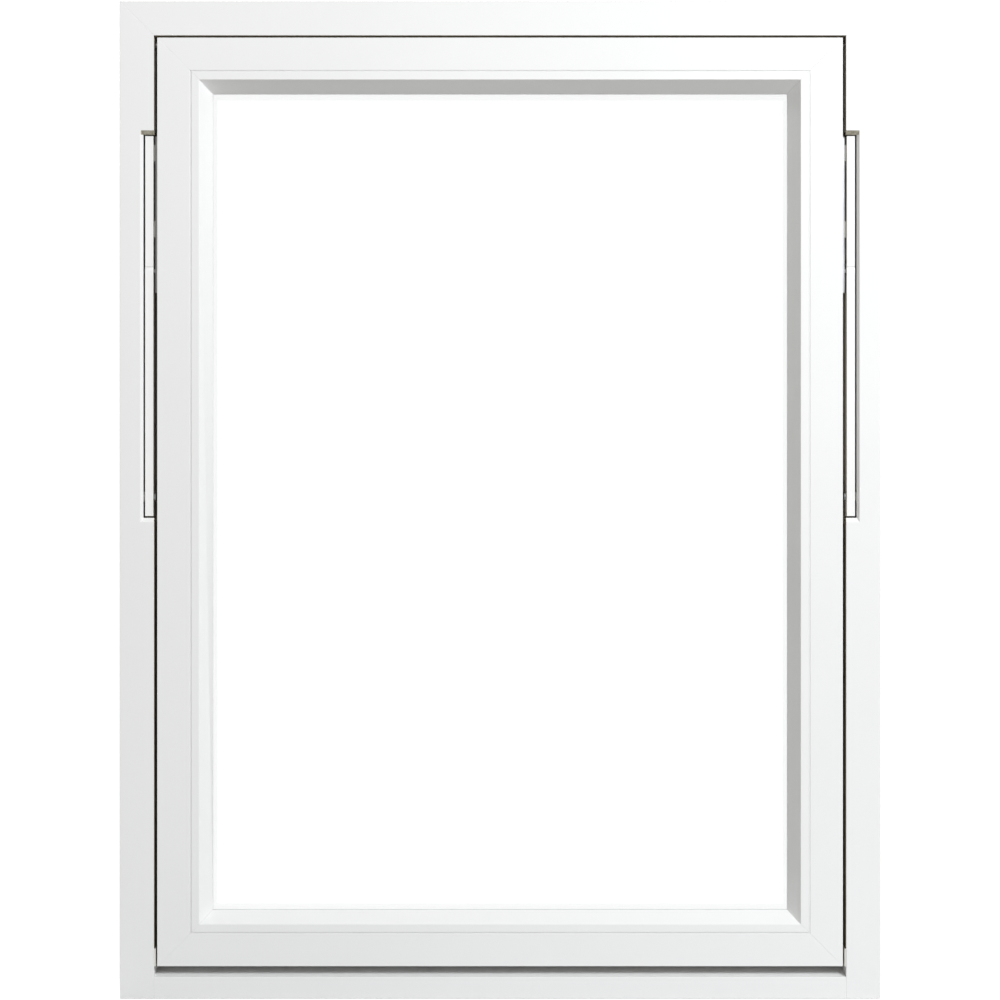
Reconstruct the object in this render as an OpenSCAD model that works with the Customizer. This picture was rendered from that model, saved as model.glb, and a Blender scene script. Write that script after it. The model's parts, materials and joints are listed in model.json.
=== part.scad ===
// Top-guided projecting casement window: aluminium-clad timber, outward opening.
// Origin: middle of the frame's underside. The outside face looks along -Y, +Z is up.
// On the left side, pieces are drawn by u (inward from the frame's outer edge),
// v (inward from its outside face) and z. The right side mirrors the left.

/* [Frame] */
// Overall width of the frame
frame_w = 915; // [700:1:1200]
// Overall height of the frame
frame_h = 1200; // [1000:1:1600]
// Depth of the frame, outside to room side
frame_depth = 115; // [110:1:140]
// Face width of the jambs and the head
frame_face = 41; // [38:0.5:60]
// How far the stop stands in from the jamb
stop_step = 17; // [12:0.5:20]
// Height of the sill's front edge
sill_front = 26; // [20:0.5:30]
// Rise of the sill's top for each millimetre of depth
sill_slope = 0.14; // [0.1:0.01:0.15]
// Height of the stop that stands up from the sill
sill_stop = 52; // [51:1:54]

/* [Cladding] */
// Thickness of the aluminium sheet
clad_t = 2; // [1.5:0.1:2.5]
// Drained air space between the sheet and the timber
clad_air = 4; // [3:0.5:5]
// Depth of the edge that wraps the outer side
clad_wrap = 10; // [8:0.5:10.5]
// Depth of the edge that wraps the inner side
clad_lip = 8; // [6:0.5:8.5]

/* [Sash] */
// Gap between the sash and each jamb
side_gap = 4; // [3.5:0.1:5]
// Gap between the sash and the head
head_gap = 2.6; // [2:0.1:6]
// Height of the sash's underside
sash_foot = 39; // [38:0.5:48]
// Depth of the sash
sash_depth = 74; // [70:1:76]
// Width of the stiles and rails to the sight line
sash_face = 65; // [60:0.5:80]
// Set-back of the timber's inner lip from the sight line
lip_back = 9; // [7:0.5:11]
// Width of the splay round the glass
splay_w = 14.5; // [11:0.5:17]
// Width of the face sheet, up to the shadow groove
sheet_face = 39.5; // [36:0.5:42]
// Width of the shadow groove
groove_w = 1.5; // [1:0.1:3]
// Depth of the shadow groove, down to the bead's tongue
groove_depth = 0.6; // [0.5:0.1:2]
// Depth of the splay from the face to the glazing gasket
splay_depth = 20; // [14:0.5:22]

/* [Glazing] */
// Thickness of each pane
pane_t = 4; // [3:0.5:6]
// Width of the sealed space between the panes
cavity_t = 16; // [12:1:18]
// How far the glass reaches behind the sight line
glass_bite = 21; // [20:0.5:22]
// Play between the glass edge and the rebate
glass_play = 4; // [3:0.5:5]
// Thickness of the outer gasket and of the inner tape
gasket_t = 3; // [2:0.5:4]
// Wall of the hollow glazing bead
bead_wall = 1.6; // [1.2:0.1:2]

/* [Linkage] */
// Arm length between its two pivots
arm_len = 273; // [200:1:340]
// Depth of the hinge line behind the outside face
hinge_v = 15; // [15:0.5:17]
// Distance of the shoe pin below the sash top
shoe_drop = 6.4; // [6.4:0.1:12]
// Opening angle of the sash
open_angle = 70; // [30:1:70]
// Width of the arm across the slot
arm_t = 10; // [8:0.5:11]
// Depth of the arm
arm_w = 18; // [14:0.5:18]
// Length of the arm's tail below the frame pivot
tail = 23.5; // [16:0.5:26]
// Length of the carrier bar above the sash pivot
carrier_len = 162; // [120:1:180]
// Width of the slot for the arm
slot_w = 16; // [16:0.5:18]
// Depth of the slot's floor behind the outside face
slot_floor = 30; // [28:0.5:36]
// Width of the splay along the slot's outer edge
slot_splay = 2.8; // [1.5:0.1:2.8]
// Length of the splay at the slot's two ends
slot_end = 5; // [3:0.5:5]
// Diameter of the arm's pivot pins
pin_d = 7; // [6:0.5:8]
// Diameter of the shoe pins
shoe_pin_d = 8; // [6:0.5:8]
// Length of each guide shoe
shoe_len = 40; // [30:1:44]

/* [Handle and bolts] */
// Height of the handle's axis above the sash's underside
handle_rise = 34; // [33.5:0.5:36]
// Length of the lever
lever_len = 112; // [90:1:130]
// Tooth size of the rack and pinion
gear_module = 1; // [0.9:0.05:1]
// Teeth on the pinion
gear_teeth = 16; // [12:4:16]
// Thickness of the bolt strip
bolt_t = 4; // [3:0.5:4]
// Width of the bolt strip
bolt_w = 8; // [6:0.5:9]
// Size of the square spindle
spindle_w = 7; // [6:0.5:8]

/* [Fixings] */
// Diameter of the fixing holes through the jambs
fix_d = 8; // [6:0.5:10]
// Distance of the lowest and highest fixing from the frame's ends
fix_end = 200; // [150:1:250]

/* [Clearances] */
// Clearance of a sliding or swinging piece
slide_gap = 0.3; // [0.3:0.05:0.4]
// Radial clearance of a running fit
run_fit = 0.05; // [0.03:0.01:0.08]
// Backlash between the teeth
backlash = 0.2; // [0.15:0.05:0.3]

/* [Hidden] */
$fn = 48;

eps = 1;                                    // overshoot of a cut
y_out = -frame_depth / 2;
timber_v = clad_t + clad_air;               // outside face of the timber
stop_v = sash_depth + 4;                    // face of the stop
stop_u = frame_face + stop_step;

// Sash outline
sash_u = frame_face + side_gap;
sash_w = frame_w - 2 * sash_u;
sash_top = frame_h - frame_face - head_gap;
lip_face = sash_face - lip_back;            // width of the inner lip
sash_flat = sash_face - splay_w;            // width of the flat outside face
rebate = sash_face - glass_bite - glass_play;
glass_in = sash_face - glass_bite;          // glass edge, in from the sash's edge
glass_v = splay_depth + gasket_t;           // outside face of the outer pane
unit_t = 2 * pane_t + cavity_t;
rebate_v = glass_v + unit_t + gasket_t;     // face of the inner lip

// Hinge points
shoe_z = sash_top - shoe_drop;
pivot_z = shoe_z - 2 * arm_len;
joint_z = pivot_z + arm_len;
shoe_low = pivot_z + 2 * arm_len * cos(open_angle);

// Slot and arm across the jamb
slot_u = frame_face - slot_w;
arm_u1 = frame_face - 1.5;
arm_u0 = arm_u1 - arm_t;
slot_z0 = pivot_z - tail - slot_end - 2;
slot_z1 = joint_z + carrier_len + slot_end + 1;
bar_v0 = hinge_v - arm_w / 2;
bar_v1 = hinge_v + arm_w / 2;
pocket_r = norm([tail, arm_w / 2]) + 1.8;
groove_top = shoe_z + shoe_pin_d / 2 + 2.5;
plate_u = frame_face + 0.5;                 // carrier plate, clear of the jamb
plate_v1 = bar_v1;

// Track
track_t = 12;
track_w = 18;
track_wall = 1.5;
track_u = slot_u - track_t;
track_v0 = hinge_v - track_w / 2;
track_z0 = shoe_low - shoe_len / 2 - 8;
track_z1 = shoe_z + shoe_len / 2 + 2;
throat = shoe_pin_d + 1.6;

// Pins, plates and screws
bush_r = pin_d / 2 + 1.5;
flange_r = bush_r + 1;
head_r = pin_d / 2 + 2;
head_t = 0.9;                               // head of the carrier pin, past the slot's splay
pivot_plate_t = 4;
pivot_plate_z = [pivot_z - 36, pivot_z + 40];
open_fit = 0.3;                             // at the pivot where the loop is opened
screw_r = 1.7;
screw_head_r = 3.2;
screw_head_h = 1.8;
bracket_t = 4;
bracket_v1 = 34;
bracket_len = 44;
shoe_screws_z = [18, 34];

// Bolts and handle
handle_z = sash_foot + handle_rise;
bolt_v = sash_depth - 10;                   // middle of the bolt strips
pitch_r = gear_module * gear_teeth / 2;
rack_root = pitch_r + 1.25 * gear_module;
rack_tip = pitch_r - 0.85 * gear_module;
rack_outer = rack_root + bolt_t;
travel = pitch_r * PI / 2;
rack_start = travel + 5.5;
rack_end = 6;
case_w = 2 * (rack_start + 4);
case_wall = 1.45;
case_h = 2 * (rack_outer + slide_gap + case_wall);
case_v0 = bolt_v - bolt_w / 2 - 6;
rose_t = 8;
rose_r = case_h / 2 + 2;
rose_end = case_w / 2 + 7;                  // screw places, either side of the spindle
hub_r = 6;
lever_v0 = sash_depth + rose_t + slide_gap;
grip_v0 = lever_v0 + 16;
grip_t = 10;
bolt_rest = 1;                              // tip inside the sash's edge
keep_t = 2.5;
fix_v = (stop_v + frame_depth) / 2;

// ---------- helpers ----------

module block(lo, hi) translate(lo) cube(hi - lo);

module left_side() translate([-frame_w / 2, y_out, 0]) children();

module right_side() mirror([1, 0, 0]) left_side() children();

module both_sides() {
    left_side() children();
    right_side() children();
}

// Round bar along u
module rod_u(r, u0, u1, v, z) translate([u0, v, z]) rotate([0, 90, 0])
    cylinder(r = r, h = u1 - u0);

// Round bar along v
module rod_v(r, v0, v1, x, z) translate([x, v1, z]) rotate([90, 0, 0])
    cylinder(r = r, h = v1 - v0);

// Countersunk screw along u, its head at u and its shank towards +u (dir 1) or -u (dir -1)
module screw_u(u, v, z, len, dir, fit = 0) translate([u, v, z]) rotate([0, 90 * dir, 0]) {
    cylinder(r1 = screw_head_r + fit, r2 = screw_r + fit, h = screw_head_h);
    cylinder(r = screw_r + fit, h = len + fit);
}

// A profile of u and v, drawn up z to len, with its ends cut at 45 degrees
module mitred(len, square_foot = false) {
    reach = 100;
    intersection() {
        linear_extrude(len) children();
        translate([0, frame_depth, 0]) rotate([90, 0, 0]) linear_extrude(2 * frame_depth)
            polygon([[0, 0], [reach, square_foot ? 0 : reach], [reach, len - reach], [0, len]]);
    }
}

// One side of a mitred ring, w wide and from z0 to z1
module ring_left(w, z0, z1) translate([-w / 2, y_out, z0]) mitred(z1 - z0) children();
module ring_right(w, z0, z1) mirror([1, 0, 0]) ring_left(w, z0, z1) children();
module ring_top(w, z1) translate([-w / 2, y_out, z1]) rotate([0, 90, 0])
    mitred(w) children();
module ring_bottom(w, z0) translate([w / 2, y_out, z0]) rotate([0, -90, 0])
    mitred(w) children();

module ring(w, z0, z1) {
    ring_left(w, z0, z1) children();
    ring_right(w, z0, z1) children();
    ring_top(w, z1) children();
    ring_bottom(w, z0) children();
}

// A rectangular section of the sash ring, from a to b across and v0 to v1 deep
module sash_band(a, b, v0, v1) ring(sash_w, sash_foot, sash_top)
    translate([a, v0]) square([b - a, v1 - v0]);

// ---------- frame ----------

module frame_section() polygon([
    [clad_t, timber_v], [frame_face - clad_t, timber_v], [frame_face - clad_t, clad_lip],
    [frame_face, clad_lip], [frame_face, stop_v], [stop_u, stop_v],
    [stop_u, frame_depth], [0, frame_depth], [0, clad_wrap], [clad_t, clad_wrap]]);

fix_heights = [fix_end, frame_h / 2, frame_h - fix_end];

// z of the bolt on each side: the left bolt is driven by the lower rack
bolt_z_left = handle_z - rack_root - bolt_t / 2;
bolt_z_right = handle_z + rack_root + bolt_t / 2;
keep_half = 18;
keep_w = 24;
keep_play = 1;
keep_screw = 12;

// The opening that a bolt's tip enters, from u0 to u1
module bolt_mouth(u0, u1, bolt_z) block(
    [u0, bolt_v - bolt_w / 2 - keep_play, bolt_z - bolt_t / 2 - keep_play],
    [u1, bolt_v + bolt_w / 2 + keep_play, bolt_z + bolt_t / 2 + keep_play]);

module frame_jamb(bolt_z) color("#e9e6df") difference() {
    linear_extrude(frame_h) frame_section();
    // the sill's stop takes the foot of the jamb's stop, the head sheet wraps the top
    block([frame_face, stop_v - eps, -eps], [stop_u + eps, frame_depth + eps, sill_stop]);
    block([-eps, 0, frame_h - clad_t], [stop_u + eps, clad_wrap, frame_h + eps]);
    // slot, slit for the shoe's pin, tail pocket, track and pivot plate
    block([slot_u, 0, slot_z0], [frame_face + eps, slot_floor, slot_z1]);
    block([slot_u - eps, hinge_v - throat / 2, slot_z1 - eps],
          [frame_face + eps, hinge_v + throat / 2, groove_top]);
    rod_u(pocket_r, slot_u, frame_face + eps, hinge_v, pivot_z);
    block([track_u, 0, track_z0], [slot_u + eps, track_v0 + track_w, track_z1]);
    block([slot_u - pivot_plate_t, 0, pivot_plate_z[0]],
          [slot_u + eps, slot_floor - 1, pivot_plate_z[1]]);
    // bolt keep
    block([frame_face - keep_t, bolt_v - keep_w / 2, bolt_z - keep_half],
          [frame_face + eps, bolt_v + keep_w / 2, bolt_z + keep_half]);
    bolt_mouth(frame_face - keep_t - travel, frame_face, bolt_z);
    jamb_screws(bolt_z, run_fit);
    for (z = fix_heights) rod_u(fix_d / 2, -eps, stop_u + eps, fix_v, z);
}

module frame_jamb_left() left_side() frame_jamb(bolt_z_left);
module frame_jamb_right() right_side() frame_jamb(bolt_z_right);

// A length of section along x, between the two given half widths, at the head
module head_length(half) translate([-half, y_out, frame_h]) rotate([0, 90, 0])
    linear_extrude(2 * half) children();

module frame_head() color("#e9e6df") {
    half = frame_w / 2;
    difference() {
        head_length(half - frame_face) frame_section();
        for (s = [-1, 1]) translate([s * (half - (frame_face + stop_u) / 2), 0, 0])
            translate([-stop_step / 2, y_out + stop_v, frame_h - stop_u - eps])
            cube([stop_step, frame_depth, stop_u + 2 * eps]);
    }
}

function sill_top(v) = sill_front + sill_slope * v;

// A profile of v and z, drawn along x between the jambs
module between_jambs() {
    half = frame_w / 2 - frame_face;
    translate([-half, y_out, 0]) rotate([90, 0, 90]) linear_extrude(2 * half) children();
}

module frame_sill() color("#e9e6df") between_jambs() polygon([
    [timber_v, 0], [frame_depth, 0], [frame_depth, sill_stop], [stop_v, sill_stop],
    [stop_v, sill_top(stop_v) - clad_t], [timber_v, sill_top(timber_v) - clad_t]]);

module cladding_section() polygon([
    [0, 0], [frame_face, 0], [frame_face, clad_lip], [frame_face - clad_t, clad_lip],
    [frame_face - clad_t, clad_t], [clad_t, clad_t], [clad_t, clad_wrap], [0, clad_wrap]]);

// The slot's mouth through the sheet, splayed along its outer edge and at both ends
module slot_mouth() {
    foot_v = timber_v - clad_t;
    inner_v = clad_wrap + eps;
    inner_u = frame_face + eps;
    z0 = slot_z0 + slot_end;
    z1 = slot_z1 - slot_end;
    intersection() {
        linear_extrude(frame_h) polygon([[slot_u, -eps], [slot_u, 0],
            [slot_u + slot_splay, foot_v], [slot_u + slot_splay, inner_v],
            [inner_u, inner_v], [inner_u, -eps]]);
        rotate([90, 0, 90]) linear_extrude(inner_u) polygon([[-eps, slot_z0], [0, slot_z0],
            [foot_v, z0], [inner_v, z0], [inner_v, z1], [foot_v, z1], [0, slot_z1], [-eps, slot_z1]]);
    }
}

// The sheet turns in round the slot and meets the timber
module cladding_jamb() color("#f4f4f2") difference() {
    union() {
        mitred(frame_h, square_foot = true) cladding_section();
        block([slot_u - clad_t, clad_t, slot_z0 - clad_t],
              [frame_face, timber_v, slot_z1 + clad_t]);
    }
    slot_mouth();
}

module cladding_jamb_left() left_side() cladding_jamb();
module cladding_jamb_right() right_side() cladding_jamb();

module cladding_head() color("#f4f4f2") ring_top(frame_w, frame_h) cladding_section();

module cladding_sill() color("#f4f4f2") between_jambs() polygon([
    [0, 0], [clad_t, 0], [clad_t, sill_top(clad_t) - clad_t],
    [stop_v, sill_top(stop_v) - clad_t], [stop_v, sill_top(stop_v)], [0, sill_front]]);

clip_len = 30;
clip_w = 7;
clip_in = 4;
clip_count = 5;

// Nylon clips that hold the sheet off the timber
module frame_clips() color("#3c3c3c") {
    both_sides() for (i = [1 : clip_count])
        translate([clip_in, clad_t, frame_h * i / (clip_count + 1)])
        cube([clip_w, clad_air, clip_len]);
    for (i = [-1, 0, 1])
        translate([i * frame_w / 4 - clip_len / 2, y_out + clad_t, frame_h - clip_in - clip_w])
        cube([clip_len, clad_air, clip_w]);
}

key_in = 12;
key_w = 18;
key_leg = 80;
key_t = 3;

// An L-shaped key in the left top corner of a ring whose corner is at u0, z1
module corner_key(u0, z1) translate([u0, clad_t, z1]) {
    block([key_in, 0, -key_in - key_leg], [key_in + key_w, key_t, -key_in]);
    block([key_in, 0, -key_in - key_w], [key_in + key_leg, key_t, -key_in]);
}

module frame_corner_keys() color("#9a9c9e") both_sides() corner_key(0, frame_h);

gasket_clear = 0.5;
gasket_u = sash_u + 1.5;

module frame_gasket() color("#303030")
    ring(frame_w - 2 * gasket_u, sash_foot + 3, frame_h - gasket_u) polygon([
        [0, stop_v], [1.5, sash_depth + gasket_clear + 1], [3, sash_depth + gasket_clear],
        [6, sash_depth + gasket_clear], [7.5, sash_depth + gasket_clear + 1], [9, stop_v]]);

// ---------- frame hardware ----------

track_screws = [track_z0 + 15, (track_z0 + track_z1) / 2, track_z1 - 8];
plate_screws = [pivot_z - 26, pivot_z + 28];
plate_screw_v = hinge_v + 3;

module jamb_screws(bolt_z, fit = 0) {
    for (z = track_screws) screw_u(track_u + track_wall, hinge_v, z, 11, -1, fit);
    for (z = plate_screws) screw_u(slot_u, plate_screw_v, z, 18, -1, fit);
    for (s = [-1, 1]) screw_u(frame_face, bolt_v, bolt_z + s * keep_screw, 20, -1, fit);
}

module frame_screws() color("#b9bcbf") {
    left_side() jamb_screws(bolt_z_left);
    right_side() jamb_screws(bolt_z_right);
}

module track() color("#c3c5c6") difference() {
    block([track_u, track_v0, track_z0], [slot_u, track_v0 + track_w, track_z1]);
    block([track_u + track_wall, track_v0 + track_wall, track_z0 - eps],
          [slot_u - track_wall, track_v0 + track_w - track_wall, track_z1 + eps]);
    block([slot_u - track_wall - eps, hinge_v - throat / 2, track_z0 - eps],
          [slot_u + eps, hinge_v + throat / 2, track_z1 + eps]);
    jamb_screws(0, run_fit);
}

module track_left() left_side() track();
module track_right() right_side() track();

module pivot_plate() color("#b3b5b7") difference() {
    block([slot_u - pivot_plate_t, bar_v0 + 1, pivot_plate_z[0]],
          [slot_u, slot_floor - 1, pivot_plate_z[1]]);
    rod_u(pin_d / 2, slot_u - pivot_plate_t - eps, slot_u + eps, hinge_v, pivot_z);
    jamb_screws(0, run_fit);
}

module pivot_plate_left() left_side() pivot_plate();
module pivot_plate_right() right_side() pivot_plate();

module pivot_pins() color("#a9abad") both_sides() {
    rod_u(pin_d / 2, slot_u - pivot_plate_t, arm_u1 + 1, hinge_v, pivot_z);
    rod_u(head_r, arm_u1 + 0.2, arm_u1 + 2.2, hinge_v, pivot_z);
}

module keep(bolt_z) difference() {
    block([frame_face - keep_t, bolt_v - keep_w / 2, bolt_z - keep_half],
          [frame_face, bolt_v + keep_w / 2, bolt_z + keep_half]);
    bolt_mouth(frame_face - keep_t - eps, frame_face + eps, bolt_z);
    for (s = [-1, 1]) screw_u(frame_face, bolt_v, bolt_z + s * keep_screw, 20, -1, run_fit);
}

module bolt_keeps() color("#b3b5b7") {
    left_side() keep(bolt_z_left);
    right_side() keep(bolt_z_right);
}

guide_t = 2;

module guide_blocks() color("#dcdad4") both_sides()
    block([frame_face, 1, sash_foot - 0.5], [frame_face + guide_t, 46, sash_foot + 21]);

// ---------- arms ----------

module arm() color("#f1f1ef") difference() {
    union() {
        block([arm_u0, bar_v0, pivot_z - tail], [arm_u1, bar_v1, joint_z]);
        rod_u(arm_w / 2, arm_u0, arm_u1, hinge_v, joint_z);
    }
    for (z = [pivot_z, joint_z]) rod_u(bush_r, arm_u0 - eps, arm_u1 + eps, hinge_v, z);
}

module arm_left() left_side() arm();
module arm_right() right_side() arm();

// The frame pivot's bush has a flange that spaces the arm off its plate
module arm_bushes(joint_fit) color("#e8e6e0") {
    difference() {
        union() {
            rod_u(bush_r, arm_u0, arm_u1, hinge_v, pivot_z);
            rod_u(flange_r, slot_u + 0.2, arm_u0, hinge_v, pivot_z);
        }
        rod_u(pin_d / 2 + run_fit, slot_u, arm_u1 + eps, hinge_v, pivot_z);
    }
    difference() {
        rod_u(bush_r, arm_u0, arm_u1, hinge_v, joint_z);
        rod_u(pin_d / 2 + joint_fit, arm_u0 - eps, arm_u1 + eps, hinge_v, joint_z);
    }
}

module arm_bushes_left() left_side() arm_bushes(run_fit);
module arm_bushes_right() right_side() arm_bushes(open_fit);

// ---------- sash timber ----------

module sash_section() polygon([
    [clad_t, timber_v], [rebate, timber_v], [rebate, rebate_v], [lip_face, rebate_v],
    [lip_face, sash_depth], [0, sash_depth], [0, clad_wrap], [clad_t, clad_wrap]]);

bolt_play = slide_gap;

// The channel that a bolt strip slides in, on the left side
module bolt_channel(bolt_z) block(
    [sash_u - eps, bolt_v - bolt_w / 2 - bolt_play, bolt_z - bolt_t / 2 - bolt_play],
    [frame_w / 2, bolt_v + bolt_w / 2 + bolt_play, bolt_z + bolt_t / 2 + bolt_play]);

module bracket_block(grow_u) block(
    [sash_u - grow_u, clad_wrap, shoe_z - bracket_len],
    [sash_u + bracket_t, bracket_v1, sash_top - 0.5]);

module sash_stile(bolt_z) color("#e9e6df") difference() {
    translate([sash_u, 0, sash_foot]) linear_extrude(sash_top - sash_foot) sash_section();
    for (z = [sash_foot - eps, sash_top - clad_t])
        block([sash_u - eps, 0, z], [sash_u + lip_face + eps, clad_wrap, z + clad_t + eps]);
    bolt_channel(bolt_z);
    bracket_block(eps);
    stile_screws(run_fit);
}

module sash_stile_left() left_side() sash_stile(bolt_z_left);
module sash_stile_right() right_side() sash_stile(bolt_z_right);

// The outer part of a rail runs between the rebates, the inner lip between the stiles
module rail_outer() intersection() {
    sash_section();
    square([lip_face + eps, rebate_v]);
}

module rail_inner() intersection() {
    sash_section();
    translate([0, rebate_v]) square([lip_face + eps, sash_depth]);
}

module rail_length(half, z, turn) translate([-turn * half, y_out, z]) rotate([0, 90 * turn, 0])
    linear_extrude(2 * half) children();

module sash_rail(z, turn) {
    rail_length(sash_w / 2 - rebate, z, turn) rail_outer();
    rail_length(sash_w / 2 - lip_face, z, turn) rail_inner();
}

module sash_rail_top() color("#e9e6df") sash_rail(sash_top, 1);

module handle_screws(fit = 0) for (s = [-1, 1])
    translate([s * rose_end, y_out + sash_depth + rose_t, handle_z]) rotate([90, 0, 0]) {
        cylinder(r1 = screw_head_r + fit, r2 = screw_r + fit, h = screw_head_h);
        cylinder(r = screw_r + fit, h = 26);
    }

module sash_rail_bottom() color("#e9e6df") difference() {
    sash_rail(sash_foot, -1);
    left_side() bolt_channel(bolt_z_left);
    right_side() bolt_channel(bolt_z_right);
    translate([-case_w / 2, y_out + case_v0, handle_z - case_h / 2])
        cube([case_w, sash_depth, case_h]);
    handle_screws(run_fit);
}

// ---------- sash cladding and glazing ----------

module sheet_section() polygon([
    [0, 0], [sheet_face, 0], [sheet_face, timber_v - 0.5], [sheet_face - clad_t, timber_v - 0.5],
    [sheet_face - clad_t, clad_t], [clad_t, clad_t], [clad_t, clad_wrap], [0, clad_wrap]]);

module sash_sheet_left() color("#f4f4f2") ring_left(sash_w, sash_foot, sash_top) sheet_section();
module sash_sheet_right() color("#f4f4f2") ring_right(sash_w, sash_foot, sash_top) sheet_section();
module sash_sheet_top() color("#f4f4f2") ring_top(sash_w, sash_top) sheet_section();
module sash_sheet_bottom() color("#f4f4f2") ring_bottom(sash_w, sash_foot) sheet_section();

// Hollow glazing bead: a tongue under the shadow groove, a flat strip, then a splay to the glass
module bead_section() {
    u0 = sheet_face + groove_w;
    heel_u = rebate + 0.3;
    heel_v = timber_v - 0.5;
    splay = atan2(splay_depth, splay_w);
    w = bead_wall;
    difference() {
        polygon([[u0, 0], [sash_flat, 0], [sash_face, splay_depth], [heel_u, splay_depth],
            [heel_u, heel_v], [sheet_face, heel_v], [sheet_face, groove_depth],
            [u0, groove_depth]]);
        polygon([[u0 + w, w], [sash_flat - w * tan(splay / 2), w],
            [sash_face - w / tan(splay / 2), splay_depth - w], [u0 + w, splay_depth - w]]);
    }
}

module bead_left() color("#f4f4f2") ring_left(sash_w, sash_foot, sash_top) bead_section();
module bead_right() color("#f4f4f2") ring_right(sash_w, sash_foot, sash_top) bead_section();
module bead_top() color("#f4f4f2") ring_top(sash_w, sash_top) bead_section();
module bead_bottom() color("#f4f4f2") ring_bottom(sash_w, sash_foot) bead_section();

sash_clip_in = 12;
sash_clip_w = 18;
sash_clip_count = 4;

module sash_clips() color("#3c3c3c") {
    both_sides() for (i = [1 : sash_clip_count])
        translate([sash_u + sash_clip_in, clad_t,
            sash_foot + (sash_top - sash_foot) * i / (sash_clip_count + 1)])
        cube([sash_clip_w, clad_air, clip_len]);
    for (i = [-1, 0, 1], z = [sash_foot + sash_clip_in, sash_top - sash_clip_in - sash_clip_w])
        translate([i * sash_w / 4 - clip_len / 2, y_out + clad_t, z])
        cube([clip_len, clad_air, sash_clip_w]);
}

module sash_corner_keys() color("#9a9c9e") both_sides() {
    corner_key(sash_u, sash_top);
    translate([0, 0, sash_foot]) mirror([0, 0, 1]) corner_key(sash_u, 0);
}

module pane(v) {
    half = sash_w / 2 - glass_in;
    translate([-half, y_out + v, sash_foot + glass_in])
        cube([2 * half, pane_t, sash_top - sash_foot - 2 * glass_in]);
}

module outer_pane() color("#d6ebe6", 0.35) pane(glass_v);
module inner_pane() color("#d6ebe6", 0.35) pane(glass_v + pane_t + cavity_t);

seal_w = 4;
spacer_w = 7;
spacer_wall = 0.8;
cavity_v = glass_v + pane_t;

module edge_seal() color("#2c2c2c")
    sash_band(glass_in, glass_in + seal_w, cavity_v, cavity_v + cavity_t);

module spacer_bar() color("#a8aaab") ring(sash_w, sash_foot, sash_top)
    translate([glass_in + seal_w, cavity_v]) difference() {
        square([spacer_w, cavity_t]);
        translate([spacer_wall, spacer_wall])
            square([spacer_w - 2 * spacer_wall, cavity_t - 2 * spacer_wall]);
    }

gasket_w = 6.5;

module outer_gasket() color("#2a2a2a")
    sash_band(sash_face - gasket_w, sash_face - 0.5, splay_depth, glass_v);

module inner_tape() color("#d9d9d6")
    sash_band(glass_in + 1, lip_face - 1, glass_v + unit_t, rebate_v);

block_len = 80;

// Packers between the glass edge and the timber, at the quarter points
module setting_blocks() color("#4a6a8a") {
    lo = sash_foot + rebate;
    hi = sash_top - rebate - glass_play;
    for (s = [-1, 1], z = [lo, hi])
        translate([s * sash_w / 4 - block_len / 2, y_out + glass_v, z])
        cube([block_len, unit_t, glass_play]);
    both_sides() for (i = [1, 3])
        translate([sash_u + rebate, glass_v, lo + (hi - lo) * i / 4 - block_len / 2])
        cube([glass_play, unit_t, block_len]);
}

// ---------- sash hardware ----------

carrier_top = joint_z + carrier_len;
bar_screws = [joint_z + 50, carrier_top - 20];
plate_to_stile = [joint_z + 30, joint_z + 90, carrier_top - 40];
plate_screw_mid = plate_v1 - 6;
// The bar's foot is cut along the arm as it lies at the open limit
bar_cut_r = arm_w / 2 + slide_gap;
bar_cut = 180 - 2 * open_angle;

// Places on the oblique foot at v0 and v1, up from the sash pivot
function foot_z(dv) = (bar_cut_r + dv * cos(bar_cut)) / sin(bar_cut);

module carrier_bar() color("#f1f1ef") difference() {
    union() {
        translate([arm_u0, 0, joint_z]) rotate([90, 0, 90]) linear_extrude(arm_t) polygon([
            [bar_v0, foot_z(-arm_w / 2)], [bar_v1, foot_z(arm_w / 2)],
            [bar_v1, carrier_len], [bar_v0, carrier_len]]);
        for (z = bar_screws)
            block([arm_u1, hinge_v - 4, z - 10], [plate_u, hinge_v + 4, z + 10]);
    }
    carrier_screws(run_fit);
}

module carrier_bar_left() left_side() carrier_bar();
module carrier_bar_right() right_side() carrier_bar();

module carrier_screws(fit = 0) for (z = bar_screws)
    screw_u(arm_u0, hinge_v, z, sash_u - arm_u0, 1, fit);

module stile_screws(fit = 0) {
    for (z = plate_to_stile) screw_u(plate_u, plate_screw_mid, z, 20, 1, fit);
    for (z = shoe_screws_z) screw_u(sash_u, bracket_v1 - 7, shoe_z - z, 18, 1, fit);
}

module carrier_plates() color("#b3b5b7") both_sides() difference() {
    block([plate_u, hinge_v - 5, joint_z - 27], [sash_u, plate_v1, carrier_top]);
    rod_u(pin_d / 2, plate_u - eps, sash_u + eps, hinge_v, joint_z);
    carrier_screws(run_fit);
    stile_screws(run_fit);
}

module carrier_pins() color("#a9abad") both_sides() {
    rod_u(pin_d / 2, arm_u0 - 1, sash_u, hinge_v, joint_z);
    rod_u(head_r, arm_u0 - slide_gap - head_t, arm_u0 - slide_gap, hinge_v, joint_z);
}

module sash_screws() color("#b9bcbf") {
    both_sides() {
        carrier_screws();
        stile_screws();
    }
    handle_screws();
}

// Corner plate let into the stile's edge, with its pin riveted in
module shoe_brackets() color("#b3b5b7") both_sides() {
    difference() {
        bracket_block(0);
        stile_screws(run_fit);
    }
    rod_u(shoe_pin_d / 2, track_u + track_wall + 1, sash_u + 1, hinge_v, shoe_z);
}

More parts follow.
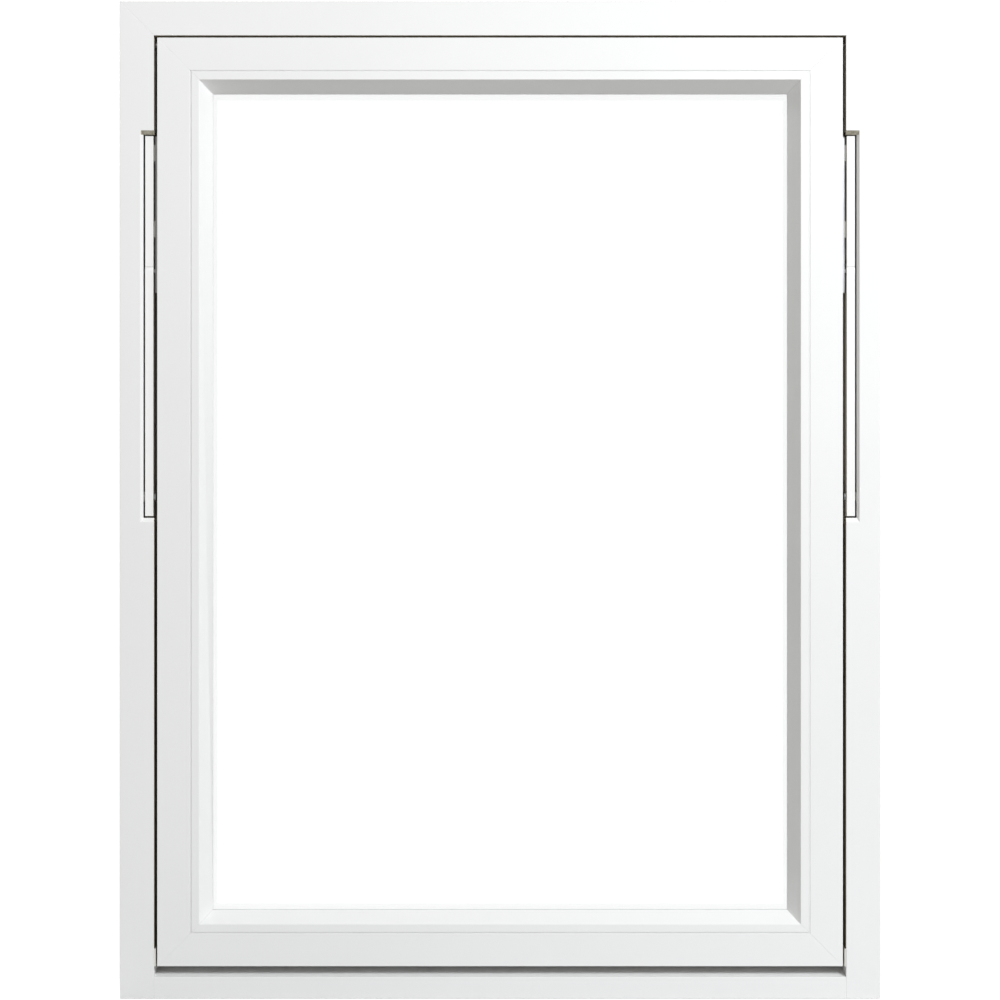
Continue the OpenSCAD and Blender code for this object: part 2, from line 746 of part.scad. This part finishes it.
module shoe() color("#e4e2dc") difference() {
    block([track_u + track_wall + slide_gap, track_v0 + track_wall + slide_gap,
           shoe_z - shoe_len / 2],
          [slot_u - track_wall - slide_gap, track_v0 + track_w - track_wall - slide_gap,
           shoe_z + shoe_len / 2]);
    rod_u(shoe_pin_d / 2 + run_fit, track_u, slot_u, hinge_v, shoe_z);
}

module shoe_left() left_side() shoe();
module shoe_right() right_side() shoe();

// ---------- handle and bolts ----------

module at_handle() translate([0, y_out, handle_z]) children();

// A plan of x and z, drawn from v0 to v1 at the handle's axis
module handle_plate(v0, v1) at_handle() translate([0, v1, 0]) rotate([90, 0, 0])
    linear_extrude(v1 - v0) children();

module handle_rose() color("#eeeeec") difference() {
    handle_plate(sash_depth, sash_depth + rose_t) {
        square([2 * rose_end, 2 * rose_r], center = true);
        for (s = [-1, 1]) translate([s * rose_end, 0]) circle(rose_r);
    }
    at_handle() rod_v(hub_r + 1.5, sash_depth - eps, sash_depth + rose_t + eps, 0, 0);
    handle_screws(run_fit);
}

grip_r0 = 10;
grip_r1 = 7.5;

// The lever lies along the rail; a quarter turn stands it up and throws the bolts
module handle_lever() color("#eeeeec") difference() {
    union() {
        at_handle() rod_v(grip_r0, lever_v0, grip_v0 + grip_t, 0, 0);
        handle_plate(grip_v0, grip_v0 + grip_t) {
            polygon([[0, -grip_r0], [0, grip_r0], [-lever_len, grip_r1], [-lever_len, -grip_r1]]);
            translate([-lever_len, 0]) circle(grip_r1);
        }
    }
    handle_plate(lever_v0 - eps, grip_v0) square(spindle_w, center = true);
}

module spindle() color("#a9abad")
    handle_plate(case_v0 + case_wall + 1, grip_v0) square(spindle_w, center = true);

// The body with its two strip mouths, closed by the cover that bears the pinion
module gearbox_case() color("#8f9294") at_handle() {
    v1 = sash_depth - case_wall;
    inner = [case_w - 2 * case_wall, v1 - case_v0, case_h - 2 * case_wall];
    difference() {
        translate([-case_w / 2, case_v0, -case_h / 2]) cube([case_w, v1 - case_v0, case_h]);
        translate([-inner[0] / 2, case_v0 + case_wall, -inner[2] / 2]) cube(inner);
        // strip mouths: the upper one to the right, the lower one to the left
        for (s = [-1, 1]) translate([s * case_w / 2, bolt_v, s * (rack_outer - bolt_t / 2)])
            cube([4 * case_wall, bolt_w + 2 * bolt_play, bolt_t + 2 * bolt_play], center = true);
    }
    difference() {
        translate([-case_w / 2, v1, -case_h / 2]) cube([case_w, case_wall, case_h]);
        rod_v(hub_r + run_fit, v1 - eps, sash_depth + eps, 0, 0);
    }
}

pressure = 20;
function inv(a) = tan(a) * 180 / PI - a;
base_r = pitch_r * cos(pressure);
gear_tip = pitch_r + gear_module;
gear_root = pitch_r - 1.25 * gear_module;
half_at_pitch = 90 / gear_teeth - backlash / (4 * pitch_r) * 180 / PI;

// Half of a tooth's thickness at radius r, as an angle
function half_angle(r) = half_at_pitch + inv(pressure) - inv(acos(min(1, base_r / r)));

flank = [for (i = [0 : 5]) base_r + (gear_tip - base_r) * i / 5];

module pinion_section() polygon([
    for (i = [0 : gear_teeth - 1]) let (mid = 360 * i / gear_teeth) each concat(
        [gear_root * [cos(mid - half_angle(base_r)), sin(mid - half_angle(base_r))]],
        [for (r = flank) r * [cos(mid - half_angle(r)), sin(mid - half_angle(r))]],
        [for (j = [5 : -1 : 0]) let (r = flank[j])
            r * [cos(mid + half_angle(r)), sin(mid + half_angle(r))]],
        [gear_root * [cos(mid + half_angle(base_r)), sin(mid + half_angle(base_r))]])]);

module pinion() color("#c9a94e") difference() {
    union() {
        handle_plate(bolt_v - bolt_w / 2 + 0.5, bolt_v + bolt_w / 2 - 0.5) pinion_section();
        at_handle() rod_v(hub_r, case_v0 + case_wall + slide_gap, sash_depth - 0.2, 0, 0);
    }
    handle_plate(case_v0, sash_depth + eps) square(spindle_w, center = true);
}

// Rack teeth over x from a to b, on the underside of the upper strip
module rack_teeth(a, b) {
    step = PI * gear_module;
    half = step / 4 - backlash / 4;
    lean = tan(pressure);
    up = rack_root - pitch_r;
    down = pitch_r - rack_tip;
    for (i = [ceil(a / step) : floor(b / step) - 1]) translate([(i + 0.5) * step, 0]) polygon([
        [-half - up * lean, rack_root + 0.01], [-half + down * lean, rack_tip],
        [half - down * lean, rack_tip], [half + up * lean, rack_root + 0.01]]);
}

// The upper strip, whose tip lies just inside the sash's right edge
module bolt() {
    tip = sash_w / 2 - bolt_rest;
    handle_plate(bolt_v - bolt_w / 2, bolt_v + bolt_w / 2) {
        polygon([[-rack_start, rack_root], [tip, rack_root], [tip, rack_outer - 1],
            [tip - 1, rack_outer], [-rack_start, rack_outer]]);
        rack_teeth(-rack_start, rack_end);
    }
}

module bolt_right() color("#b9bcbf") bolt();

// The lower strip is the upper one turned half round the spindle
module bolt_left() color("#b9bcbf") translate([0, 0, handle_z]) rotate([0, 180, 0])
    translate([0, 0, -handle_z]) bolt();

// ---------- assembly ----------

frame_head();
frame_jamb_left();
frame_jamb_right();
frame_sill();
cladding_head();
cladding_jamb_left();
cladding_jamb_right();
cladding_sill();
frame_clips();
frame_corner_keys();
frame_gasket();
track_left();
track_right();
frame_screws();
pivot_plate_left();
pivot_plate_right();
pivot_pins();
bolt_keeps();
guide_blocks();
arm_left();
arm_right();
arm_bushes_left();
arm_bushes_right();
sash_stile_left();
sash_stile_right();
sash_rail_top();
sash_rail_bottom();
sash_sheet_left();
sash_sheet_right();
sash_sheet_top();
sash_sheet_bottom();
bead_left();
bead_right();
bead_top();
bead_bottom();
sash_clips();
sash_corner_keys();
outer_pane();
inner_pane();
spacer_bar();
edge_seal();
setting_blocks();
outer_gasket();
inner_tape();
carrier_bar_left();
carrier_bar_right();
carrier_plates();
carrier_pins();
sash_screws();
shoe_brackets();
shoe_left();
shoe_right();
handle_rose();
handle_lever();
spindle();
gearbox_case();
pinion();
bolt_left();
bolt_right();
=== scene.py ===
"""Studio scene for a white casement window: materials, soft edges, light and camera."""
import json
import math

import bpy
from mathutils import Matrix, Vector


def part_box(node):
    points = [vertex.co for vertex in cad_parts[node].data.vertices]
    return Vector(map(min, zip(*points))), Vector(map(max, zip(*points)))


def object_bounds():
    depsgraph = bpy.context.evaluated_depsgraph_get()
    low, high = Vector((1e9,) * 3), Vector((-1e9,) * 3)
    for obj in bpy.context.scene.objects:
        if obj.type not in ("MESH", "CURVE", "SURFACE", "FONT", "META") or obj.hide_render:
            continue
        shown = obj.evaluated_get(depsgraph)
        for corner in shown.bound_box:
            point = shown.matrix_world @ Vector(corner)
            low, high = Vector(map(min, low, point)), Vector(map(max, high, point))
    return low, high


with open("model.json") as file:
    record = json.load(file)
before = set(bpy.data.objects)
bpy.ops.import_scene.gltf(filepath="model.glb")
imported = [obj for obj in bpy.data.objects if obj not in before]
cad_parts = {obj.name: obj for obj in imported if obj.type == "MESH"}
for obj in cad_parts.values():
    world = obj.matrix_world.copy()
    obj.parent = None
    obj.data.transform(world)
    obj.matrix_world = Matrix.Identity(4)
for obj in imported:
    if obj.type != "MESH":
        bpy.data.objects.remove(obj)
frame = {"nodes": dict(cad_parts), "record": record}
cad_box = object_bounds()

MM = 0.001
NODES = frame["nodes"]
SLOT_OF = {row["node"]: row["material_slot"] for row in frame["record"]["subparts"]}


# ---------- places on the window ----------

OUTSIDE = cad_box[0].y
SASH_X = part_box("sash_sheet_right")[1].x
SASH_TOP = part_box("sash_sheet_top")[1].z
SASH_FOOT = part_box("sash_sheet_bottom")[0].z
SASH_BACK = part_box("sash_rail_top")[1].y
JAMB_X = -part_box("cladding_jamb_left")[1].x
HEAD_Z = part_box("cladding_head")[0].z

# Each arm slot runs a little past the arm's foot and the carrier bar's top
ARM_CLEAR = 7 * MM
BAR_CLEAR = 6 * MM
SLOT_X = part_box("track_right")[0].x
SLOT_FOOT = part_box("arm_right")[0].z - ARM_CLEAR
SLOT_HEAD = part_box("carrier_bar_right")[1].z + BAR_CLEAR
SLOT_END = 5.2 * MM     # height of the cut face at a slot's head

# Depths behind the outside face, and how far a mask reaches past the face it colours
CUT_EDGE = 0.3 * MM     # the sheet's own face stays white to here
CUT_BACK = 26 * MM      # the cut face ends and the primer colour, partly painted shade, starts
SLOT_BACK = 60 * MM      # and that primer colour with painted shade ends
LIP = 1.5 * MM          # the sheets' turned edges stay white to here
STOP_GAP = 4.2 * MM     # from the sash's back to just past the stop's face
SKIN = 0.4 * MM


# ---------- node helpers ----------

def times(colour, factor):
    """A colour with each channel multiplied by a factor."""
    return tuple(channel * factor for channel in colour)


class Tree:
    """The node tree of a material or world, with short calls that make and join nodes."""

    def __init__(self, owner, output="ShaderNodeOutputMaterial"):
        owner.use_nodes = True
        self.owner = owner
        self.tree = owner.node_tree
        self.tree.nodes.clear()
        self.output = self.node(output)
        self.coords = self.node("ShaderNodeTexCoord").outputs["Object"]

    def node(self, kind, **settings):
        made = self.tree.nodes.new(kind)
        for key, value in settings.items():
            setattr(made, key, value)
        return made

    def feed(self, socket, value):
        """Joins an output to a socket, or sets the socket to a plain value."""
        if isinstance(value, bpy.types.NodeSocket):
            self.tree.links.new(value, socket)
        else:
            socket.default_value = value

    def math(self, operation, *values):
        made = self.node("ShaderNodeMath", operation=operation)
        for socket, value in zip(made.inputs, values):
            self.feed(socket, value)
        return made.outputs[0]

    def scaled(self, x, y, z):
        """Object coordinates multiplied along each axis."""
        made = self.node("ShaderNodeMapping", vector_type="POINT")
        self.feed(made.inputs["Vector"], self.coords)
        made.inputs["Scale"].default_value = (x, y, z)
        return made.outputs["Vector"]

    def noise(self, scale, detail=2.0, vector=None, distortion=0.0):
        """Noise from 0 to 1; scale is in cells per metre unless a vector is given."""
        made = self.node("ShaderNodeTexNoise")
        self.feed(made.inputs["Vector"], self.coords if vector is None else vector)
        made.inputs["Scale"].default_value = scale
        made.inputs["Detail"].default_value = detail
        made.inputs["Distortion"].default_value = distortion
        return made.outputs["Fac"]

    def span(self, value, from_lo, from_hi, to_lo=0.0, to_hi=1.0):
        """Maps one range of a value onto another, clamped at both ends."""
        made = self.node("ShaderNodeMapRange", clamp=True)
        self.feed(made.inputs["Value"], value)
        for key, number in (("From Min", from_lo), ("From Max", from_hi),
                            ("To Min", to_lo), ("To Max", to_hi)):
            made.inputs[key].default_value = number
        return made.outputs["Result"]

    def mix(self, factor, first, second):
        """Mixes two colours, each an output or a plain triple."""
        made = self.node("ShaderNodeMix", data_type="RGBA")
        self.feed(made.inputs[0], factor)
        for socket, value in ((made.inputs[6], first), (made.inputs[7], second)):
            self.feed(socket, value if isinstance(value, bpy.types.NodeSocket) else (*value, 1))
        return made.outputs[2]

    def bump(self, height, depth_mm, strength, below=None):
        """A normal with relief of a depth in millimetres, laid over another normal if given."""
        made = self.node("ShaderNodeBump")
        self.feed(made.inputs["Height"], height)
        made.inputs["Distance"].default_value = depth_mm * MM
        made.inputs["Strength"].default_value = strength
        if below is not None:
            self.feed(made.inputs["Normal"], below)
        return made.outputs["Normal"]

    def surface(self, **values):
        """Ends the tree with a Principled shader; underscores in names stand for spaces."""
        shader = self.node("ShaderNodeBsdfPrincipled")
        for key, value in values.items():
            socket = shader.inputs[key.replace("_", " ")]
            if isinstance(value, tuple) and len(value) == 3:
                value = (*value, 1)
            self.feed(socket, value)
        self.feed(self.output.inputs["Surface"], shader.outputs[0])
        return self.owner

    def either_ray(self, first, second):
        """One where a ray is of either kind, as the Light Path node names them."""
        path = self.node("ShaderNodeLightPath")
        return self.math("MAXIMUM", path.outputs[first], path.outputs[second])

    def within(self, x, depth, z):
        """One inside a box given by ranges of |x|, of depth behind the outside face, and of z."""
        parts = self.node("ShaderNodeSeparateXYZ")
        self.feed(parts.inputs[0], self.coords)
        found = 1.0
        for value, (low, high) in ((self.math("ABSOLUTE", parts.outputs["X"]), x),
                                   (self.math("SUBTRACT", parts.outputs["Y"], OUTSIDE), depth),
                                   (parts.outputs["Z"], z)):
            found = self.math("MULTIPLY", found, self.math("GREATER_THAN", value, low))
            found = self.math("MULTIPLY", found, self.math("LESS_THAN", value, high))
        return found

    def rebates_with_painted_shade(self, colour):
        """A dark primer colour in the gap round the sash and deep in each arm slot, partly a real
        primer and partly painted shade; each slot's head ends in a cut face whose milled colour is
        partly painted shade.
        """
        gap_depth = (LIP, SASH_BACK - OUTSIDE + STOP_GAP)
        slot_x = (JAMB_X - SKIN, SLOT_X + SKIN)
        all_x = (-1, JAMB_X + SKIN)
        in_slot = self.within(slot_x, (CUT_BACK, SLOT_BACK), (SLOT_FOOT - SKIN, SLOT_HEAD + SKIN))
        at_head = self.within(slot_x, (CUT_EDGE, CUT_BACK),
                              (SLOT_HEAD - SLOT_END, SLOT_HEAD + SKIN))
        at_sides = self.within((SASH_X - SKIN, JAMB_X + SKIN), gap_depth, (SASH_FOOT, HEAD_Z))
        at_top = self.within(all_x, gap_depth, (SASH_TOP - SKIN, HEAD_Z + SKIN))
        # the downward-facing cut face at each slot's head gets a mottled milled timber colour that
        # is partly painted shade
        milled_shaded = self.mix(self.span(self.noise(240, 4.0), 0.35, 0.65), MILLED_SHADED_DARK, MILLED_SHADED)
        colour = self.mix(at_head, colour, milled_shaded)
        # a primer colour put on the gap and deep slot surfaces, darker than the white: partly
        # painted shade
        primer_shade = self.mix(self.noise(35, 3.0), PRIMER_SHADE, PRIMER_SHADE_PALE)
        painted_shade_mask = self.math("MAXIMUM", in_slot, self.math("MAXIMUM", at_sides, at_top))
        return self.mix(painted_shade_mask, colour, primer_shade)

    def specks(self, per_metre, size_mm, share):
        """Small round marks, one at most in each cell, in a share of the cells."""
        cells = self.node("ShaderNodeTexVoronoi", feature="F1")
        self.feed(cells.inputs["Vector"], self.coords)
        cells.inputs["Scale"].default_value = per_metre
        radius = size_mm * MM * per_metre / 2
        spot = self.span(cells.outputs["Distance"], radius, radius * 0.6)
        chosen = self.math("GREATER_THAN", cells.outputs["Color"], 1 - share)
        return self.math("MULTIPLY", spot, chosen)


# ---------- materials ----------

# Primer colour of the gap and slot surfaces, partly a real primer and partly painted shade
PRIMER_SHADE = (0.42, 0.385, 0.31)
PRIMER_SHADE_PALE = times(PRIMER_SHADE, 1.2)
# Milled timber colour of the slot head's cut face, darkened in part as painted shade
MILLED_SHADED = (0.50, 0.465, 0.375)
MILLED_SHADED_DARK = (0.27, 0.25, 0.19)
SPECK = (0.35, 0.34, 0.31)
SPECK_SHOWS = 0.45      # how much of a speck's colour covers the coat


def powder_coat(name, base, roughness=0.40, shade_the_rebates=False):
    """Satin polyester powder: a fine orange peel, faint clouding and a few specks."""
    t = Tree(bpy.data.materials.new(name))
    peel = t.noise(520, 2.0)
    flow = t.noise(90, 2.0)
    cloud = t.span(t.noise(3.5, 3.0), 0.3, 0.7)
    colour = t.mix(cloud, times(base, 0.975), base)
    specks = t.specks(per_metre=14, size_mm=1.1, share=0.10)
    colour = t.mix(t.math("MULTIPLY", specks, SPECK_SHOWS), colour, SPECK)
    # painted shade in the gap and slots, laid on as a primer colour
    if shade_the_rebates:
        colour = t.rebates_with_painted_shade(colour)
    rough = t.span(flow, 0.3, 0.7, roughness - 0.04, roughness + 0.05)
    normal = t.bump(peel, 0.035, 0.6, below=t.bump(flow, 0.05, 0.4))
    return t.surface(Base_Color=colour, Roughness=rough, Normal=normal,
                     Specular_IOR_Level=0.5)


def painted_timber(name, along, base):
    """Sprayed paint on pine: the grain telegraphs through as a long shallow relief."""
    t = Tree(bpy.data.materials.new(name))
    stretch = {"x": (1.5, 60, 60), "z": (60, 60, 1.5)}[along]
    vector = t.scaled(*stretch)
    grain = t.noise(2.2, 4.0, vector, distortion=0.6)
    pores = t.noise(14, 2.0, vector)
    spray = t.noise(700, 1.0)
    yellowed = tuple(channel * kept for channel, kept in zip(base, (0.97, 0.955, 0.92)))
    colour = t.mix(t.span(grain, 0.35, 0.65), times(base, 0.97), base)
    colour = t.mix(t.span(t.noise(5, 2.0), 0.35, 0.7, 0.0, 0.25), colour, yellowed)
    # painted shade in the gap and slots, laid on as a primer colour
    colour = t.rebates_with_painted_shade(colour)
    normal = t.bump(grain, 0.12, 0.35)
    normal = t.bump(pores, 0.05, 0.35, below=normal)
    normal = t.bump(spray, 0.02, 0.3, below=normal)
    rough = t.span(grain, 0.3, 0.7, 0.42, 0.52)
    return t.surface(Base_Color=colour, Roughness=rough, Normal=normal)


def metal(name, base, roughness, along="z"):
    """Plated or drawn metal, with fine lines along one axis and clouded brightness."""
    t = Tree(bpy.data.materials.new(name))
    stretch = {"x": (40, 2600, 2600), "z": (2600, 2600, 40)}[along]
    lines = t.noise(1.0, 3.0, t.scaled(*stretch))
    cloud = t.noise(60, 3.0)
    colour = t.mix(t.span(cloud, 0.3, 0.7), times(base, 0.9), base)
    rough = t.span(lines, 0.3, 0.7, roughness - 0.06, roughness + 0.08)
    return t.surface(Base_Color=colour, Metallic=1.0, Roughness=rough,
                     Normal=t.bump(lines, 0.012, 0.5))


def plastic(name, base):
    """Moulded plastic with a fine spark-eroded grain."""
    t = Tree(bpy.data.materials.new(name))
    grain = t.noise(900, 2.0)
    cloud = t.span(t.noise(25, 2.0), 0.3, 0.7)
    colour = t.mix(cloud, times(base, 0.93), base)
    rough = t.span(grain, 0.3, 0.7, 0.40, 0.52)
    return t.surface(Base_Color=colour, Roughness=rough, Normal=t.bump(grain, 0.02, 0.5))


def rubber(name, base):
    """Extruded rubber: dull, with dust in its skin."""
    t = Tree(bpy.data.materials.new(name))
    skin = t.noise(650, 3.0)
    dust = t.span(t.noise(110, 4.0), 0.5, 0.8, 0.0, 0.35)
    dusty = tuple(min(1, channel * 2.2 + 0.02) for channel in base)
    return t.surface(Base_Color=t.mix(dust, base, dusty),
                     Roughness=t.span(skin, 0.3, 0.7, 0.62, 0.8),
                     Normal=t.bump(skin, 0.04, 0.6))


def clear_glass(name):
    """Float glass that lets lamps through, with a faint roller wave."""
    t = Tree(bpy.data.materials.new(name))
    wave = t.noise(1.0, 1.0, t.scaled(7, 7, 2))
    shader = t.node("ShaderNodeBsdfPrincipled")
    for key, value in (("Base Color", (0.995, 1.0, 0.998, 1)), ("Roughness", 0.0),
                       ("IOR", 1.5), ("Transmission Weight", 1.0)):
        shader.inputs[key].default_value = value
    t.feed(shader.inputs["Normal"], t.bump(wave, 0.02, 0.05))
    lamp = t.node("ShaderNodeBsdfTransparent")
    lamp.inputs["Color"].default_value = (0.975, 0.985, 0.98, 1)
    blend = t.node("ShaderNodeMixShader")
    t.feed(blend.inputs[0], t.either_ray("Is Shadow Ray", "Is Diffuse Ray"))
    t.feed(blend.inputs[1], shader.outputs[0])
    t.feed(blend.inputs[2], lamp.outputs[0])
    t.feed(t.output.inputs["Surface"], blend.outputs[0])
    return t.owner


WHITE = (0.90, 0.90, 0.90)
PAINT = (0.87, 0.868, 0.855)
MATERIALS = {
    "cladding": powder_coat("white_powder", WHITE, shade_the_rebates=True),
    "arm_paint": powder_coat("arm_powder", (0.93, 0.93, 0.925), roughness=0.34),
    "handle_paint": powder_coat("handle_powder", WHITE, roughness=0.28),
    "timber_x": painted_timber("painted_timber_x", "x", PAINT),
    "timber_z": painted_timber("painted_timber_z", "z", PAINT),
    "steel": metal("zinc_plate", (0.62, 0.63, 0.65), 0.34),
    "aluminium": metal("mill_aluminium", (0.74, 0.75, 0.76), 0.38),
    "brass": metal("cut_brass", (0.75, 0.60, 0.27), 0.30, along="x"),
    "nylon": plastic("natural_nylon", (0.80, 0.79, 0.74)),
    "dark_nylon": plastic("dark_nylon", (0.06, 0.06, 0.06)),
    "packer": plastic("packer_plastic", (0.20, 0.33, 0.47)),
    "gasket": rubber("black_rubber", (0.022, 0.021, 0.020)),
    "tape": rubber("pale_tape", (0.62, 0.62, 0.60)),
    "glass": clear_glass("float_glass"),
}
ALONG_X = {"frame_head", "frame_sill", "sash_rail_top", "sash_rail_bottom"}


def material_of(node):
    """The material of a node's slot; timber takes the one whose grain runs its way."""
    slot = SLOT_OF[node]
    if slot == "timber":
        slot = "timber_x" if node in ALONG_X else "timber_z"
    return MATERIALS[slot]


# ---------- edges ----------

# Edge radius of each material slot, in millimetres
EDGE_MM = {"cladding": 0.5, "timber": 1.2, "steel": 0.3, "arm_paint": 1.6, "aluminium": 0.25,
           "nylon": 0.4, "gasket": 0.3, "glass": 0.3, "handle_paint": 3.0, "dark_nylon": 0.4,
           "packer": 0.4, "tape": 0.2, "brass": 0.08}
WELD_MM = 0.01
EDGE_STEPS = 3
SHARP_DEG = 35          # only edges that turn more than this are rounded


def soften(obj, width_mm):
    """Rounds the edges of a CAD node by modifiers, which leave its own mesh as it is."""
    weld = obj.modifiers.new("weld", "WELD")
    weld.merge_threshold = WELD_MM * MM
    bevel = obj.modifiers.new("edge", "BEVEL")
    bevel.width = width_mm * MM
    bevel.segments = EDGE_STEPS
    bevel.limit_method = "ANGLE"
    bevel.angle_limit = math.radians(SHARP_DEG)
    bevel.harden_normals = True
    bevel.use_clamp_overlap = True


for name, obj in NODES.items():
    obj.data.materials.clear()
    obj.data.materials.append(material_of(name))
    soften(obj, EDGE_MM[SLOT_OF[name]])


# ---------- floor, light and camera ----------

SEEN_RAYS = ("Is Camera Ray", "Is Transmission Ray")

FLOOR_HALF_X = 1.5
FLOOR_HALF_Y = 0.60
FLOOR_BEHIND = 0.09     # how far the floor reaches past the window's middle, room side
FLOOR_DROP = 0.5 * MM   # keeps the floor clear of the sill's underside
FADE_FROM = {"X": 0.45, "Y": 0.82}      # share of each half where the floor starts to fade
FLOOR_TONES = ((0.44, 0.44, 0.44), (0.47, 0.47, 0.47))
FLOOR_GLOW = 0.78

# Colour and strength of the surround, where it lights the window and where it is seen
AMBIENT = ((1.0, 0.965, 0.91), 0.335)
SURROUND = ((1, 1, 1), 1.05)

# Name, place, disk's diameter, watts and colour
LIGHTS = (("key", (2.07, -3.40, 2.76), 1.4, 174, (0.955, 0.98, 1.0)),
          ("room_fill", (-2.2, 3.6, 2.5), 1.8, 125, (0.97, 0.985, 1.0)))

MIDDLE = (cad_box[0] + cad_box[1]) / 2
CAMERA_DISTANCE = 2.807
CAMERA_LENS = 84


def make_floor():
    """A pale floor that fades out, so that no edge or horizon shows."""
    bpy.ops.mesh.primitive_plane_add(
        size=2, location=(0, FLOOR_BEHIND - FLOOR_HALF_Y, -FLOOR_DROP))
    floor = bpy.context.object
    floor.name = "studio_floor"
    floor.scale = (FLOOR_HALF_X, FLOOR_HALF_Y, 1)
    t = Tree(bpy.data.materials.new("studio_floor"))
    parts = t.node("ShaderNodeSeparateXYZ")
    t.feed(parts.inputs[0], t.coords)
    solid = 1.0
    for axis, start in FADE_FROM.items():
        near = t.span(t.math("ABSOLUTE", parts.outputs[axis]), 1.0, start)
        solid = t.math("MULTIPLY", solid, near)
    # lifted to the surround's white where it is seen, but not where it lights the window
    glow = t.math("MULTIPLY", t.either_ray(*SEEN_RAYS), FLOOR_GLOW)
    floor.data.materials.append(t.surface(
        Base_Color=t.mix(t.noise(3), *FLOOR_TONES), Roughness=0.7, Alpha=solid,
        Emission_Color=(1, 1, 1), Emission_Strength=glow))


def make_world():
    """A white surround: one brightness where it is seen, another where it lights."""
    world = bpy.data.worlds.new("studio")
    bpy.context.scene.world = world
    t = Tree(world, "ShaderNodeOutputWorld")
    blend = t.node("ShaderNodeMixShader")
    t.feed(blend.inputs[0], t.either_ray(*SEEN_RAYS))
    for place, (colour, strength) in ((1, AMBIENT), (2, SURROUND)):
        light = t.node("ShaderNodeBackground")
        light.inputs["Color"].default_value = (*colour, 1)
        light.inputs["Strength"].default_value = strength
        t.feed(blend.inputs[place], light.outputs[0])
    t.feed(t.output.inputs["Surface"], blend.outputs[0])


def area_light(name, place, size, watts, colour):
    """A disk of light aimed at the window's middle, seen by no camera and through no glass."""
    data = bpy.data.lights.new(name, "AREA")
    data.shape = "DISK"
    data.size = size
    data.energy = watts
    data.color = colour
    light = bpy.data.objects.new(name, data)
    light.visible_camera = False
    light.visible_transmission = False
    light.location = place
    light.rotation_mode = "QUATERNION"
    light.rotation_quaternion = (MIDDLE - Vector(place)).to_track_quat("-Z", "Y")
    bpy.context.scene.collection.objects.link(light)


def make_camera():
    """Straight in front of the outside face, level with the window's middle."""
    data = bpy.data.cameras.new("camera")
    data.lens = CAMERA_LENS
    data.sensor_width = 36
    data.clip_start = 0.05
    data.clip_end = 50
    camera = bpy.data.objects.new("camera", data)
    camera.location = (MIDDLE.x, OUTSIDE - CAMERA_DISTANCE, MIDDLE.z)
    camera.rotation_euler = (math.radians(90), 0, 0)
    bpy.context.scene.collection.objects.link(camera)
    bpy.context.scene.camera = camera


make_floor()
make_world()
for row in LIGHTS:
    area_light(*row)
make_camera()
bpy.context.scene.view_settings.view_transform = "Standard"
